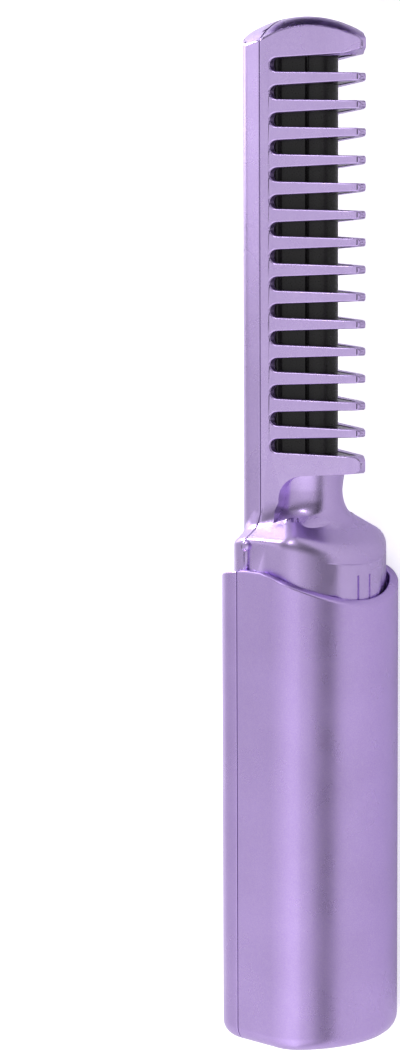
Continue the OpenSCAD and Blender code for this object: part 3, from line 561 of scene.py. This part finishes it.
def finishPiece(bm, name, s, body, nodes):
    for face in bm.faces:
        face.smooth = True
    limit = math.radians(roundSettings["sharpAngle"])
    weight = bm.edges.layers.float.new("bevel_weight_edge")
    plainStart, plainEnd = (x * mm for x in s.get("noRound", (0, 0)))
    seamEdge = (seamSettings["plane"] - seamSettings["margin"]) * mm
    for edge in bm.edges:
        if len(edge.link_faces) != 2:
            continue
        edge.smooth = edge.calc_face_angle(0.0) < limit
        ends = [vert.co for vert in edge.verts]
        plain = all(plainStart < co.x < plainEnd and co.y < seamEdge for co in ends)
        if not edge.smooth and not plain:
            edge[weight] = 1.0
    mesh = bpy.data.meshes.new(name)
    bm.to_mesh(mesh)
    bm.free()
    mesh.validate()
    piece = bpy.data.objects.new(name, mesh)
    bpy.context.scene.collection.objects.link(piece)
    mesh.materials.append(finishes[s["finish"]])
    if s.get("round"):
        bevel = piece.modifiers.new("roundedEdges", "BEVEL")
        bevel.width = s["round"] * mm
        bevel.segments = roundSettings["steps"]
        bevel.limit_method = "WEIGHT"
        bevel.use_clamp_overlap = False
        even = piece.vertex_groups.new(name="evenNormals")
        plainBelow = roundSettings["plainBelow"] * mm
        for vert in mesh.vertices:
            if not plainStart < vert.co.x < plainEnd or vert.co.y > plainBelow:
                even.add([vert.index], 1.0, "REPLACE")
        # the bevel leaves some weights below 0, and this brings them back
        bounded = piece.modifiers.new("boundedWeights", "VERTEX_WEIGHT_EDIT")
        bounded.vertex_group = even.name
        weighted = piece.modifiers.new("evenNormals", "WEIGHTED_NORMAL")
        weighted.keep_sharp = True
        weighted.vertex_group = even.name
    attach(piece, body)
    if nodes:
        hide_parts(*nodes)
    return piece


dressSettings = {
    "handle_rear_shell": {"finish": "lavenderPaint", "slot": "lavender_paint", "round": 0.2},
    "handle_front_shell": {"finish": "lavenderPaint", "slot": "lavender_paint", "round": 0.12,
                           "seam": True},
    "comb_rear_shell": {"finish": "combPaint", "slot": "comb_paint", "round": 0.24, "neck": True,
                        "noRound": (40.0, 85.2)},
    "comb_front_cover": {"finish": "combPaint", "slot": "comb_paint", "round": 0.2, "seam": True},
    "cap": {"finish": "lavenderPaint", "slot": "lavender_paint", "round": 0.15},
    "power_button": {"finish": "lavenderPaint", "slot": "lavender_paint", "round": 0.2},
    "switch_plunger": {"finish": "blackPlastic", "slot": "black_plastic", "round": 0.15},
    "power_switch": {"finish": "blackPlastic", "slot": "black_plastic", "round": 0.1},
    "indicator_lenses": {"finish": "lensBlack", "slot": "lens_black", "round": 0.15},
    "indicator_leds": {"finish": "whitePlastic", "slot": "white_plastic", "round": 0.08},
    "main_board": {"finish": "boardGreen", "slot": "board_green", "round": 0.1},
    "controller_chip": {"finish": "blackPlastic", "slot": "black_plastic", "round": 0.08},
    "board_screws": {"finish": "screwSteel", "slot": "screw_steel", "round": 0.1},
    "charging_socket": {"finish": "socketSteel", "slot": "socket_steel", "round": 0.08},
    "battery_cell": {"finish": "cellWrap", "slot": "cell_wrap", "round": 0.5},
    "battery_cradle": {"finish": "whitePlastic", "slot": "white_plastic", "round": 0.2},
    "battery_tabs": {"finish": "screwSteel", "slot": "screw_steel", "round": 0.05},
    "heating_plate": {"finish": "heaterBlack", "slot": "heater_black", "round": 0.15},
    "ceramic_heater": {"finish": "ceramicWhite", "slot": "ceramic_white", "round": 0.1},
    "clamp_plate": {"finish": "clampSteel", "slot": "clamp_steel", "round": 0.08},
    "clamp_screws": {"finish": "screwSteel", "slot": "screw_steel", "round": 0.1},
    "temperature_sensor": {"finish": "sensorBead", "slot": "sensor_bead", "round": 0.3},
    "heater_leads": {"finish": "leadRed", "slot": "lead_red"},
    "lead_terminal": {"finish": "whitePlastic", "slot": "white_plastic", "round": 0.15},
    "heat_barrier": {"finish": "barrierSheet", "slot": "barrier_sheet", "round": 0.05},
}


def pieceName(node):
    first, *rest = node.split("_")
    return first + "".join(word.capitalize() for word in rest) + "Piece"


bodyOf = {}
for body, members in frame["record"]["behaviour"]["bodies"].items():
    bodyOf.update({node: body for node in members})
for node, s in dressSettings.items():
    finishPiece(takeSolid(node, s), pieceName(node), s, bodyOf[node], [node])
    print("piece made:", node)

# the mark on the button: a broken ring and a bar, let into the face and a hair proud of it
markSettings = {
    "finish": "markInk", "x": 20.5, "z": 18.3, "ring": 2.5, "line": 0.34, "open": 38.0,
    "barLow": 0.6, "barTop": 3.0, "sink": 0.03, "lift": 0.03, "steps": 40}


def buttonFace():
    return max(vert.co.y for vert in frame["nodes"]["power_button"].data.vertices) / mm


def makeMark(s, face):
    bm = bmesh.new()
    start = bmesh.ops.create_grid(bm, x_segments=1, y_segments=1, size=mm / 2)["verts"]
    bmesh.ops.scale(bm, verts=start, vec=(s["line"], s["sink"] + s["lift"], 1.0))
    bmesh.ops.translate(bm, verts=start, vec=(s["ring"] * mm, 0.0, 0.0))
    bmesh.ops.rotate(bm, verts=start, matrix=Matrix.Rotation(math.radians(-s["open"]), 3, "Y"))
    section = list(bm.verts) + list(bm.edges) + list(bm.faces)
    bmesh.ops.spin(bm, geom=section, cent=(0, 0, 0), axis=(0, -1, 0), steps=s["steps"], use_merge=False,
                   angle=math.radians(360 - 2 * s["open"]))
    level = face + (s["lift"] - s["sink"]) / 2
    bmesh.ops.translate(bm, verts=list(bm.verts), vec=[c * mm for c in (s["x"], level, s["z"])])
    bar = bmesh.ops.create_cube(bm, size=mm)["verts"]
    bmesh.ops.scale(bm, verts=bar, vec=(s["barTop"] - s["barLow"], s["sink"] + s["lift"], s["line"]))
    middle = (s["x"] + (s["barTop"] + s["barLow"]) / 2, level, s["z"])
    bmesh.ops.translate(bm, verts=bar, vec=[c * mm for c in middle])
    bmesh.ops.recalc_face_normals(bm, faces=bm.faces)
    return bm


mark = makeMark(markSettings, buttonFace())
finishPiece(mark, "powerMark", markSettings, bodyOf["power_button"], [])
print("button mark made")
column = makeNeckColumn(neckSettings)
finishPiece(column, "neckColumn", neckSettings, bodyOf["comb_rear_shell"], [])
print("neck column made")
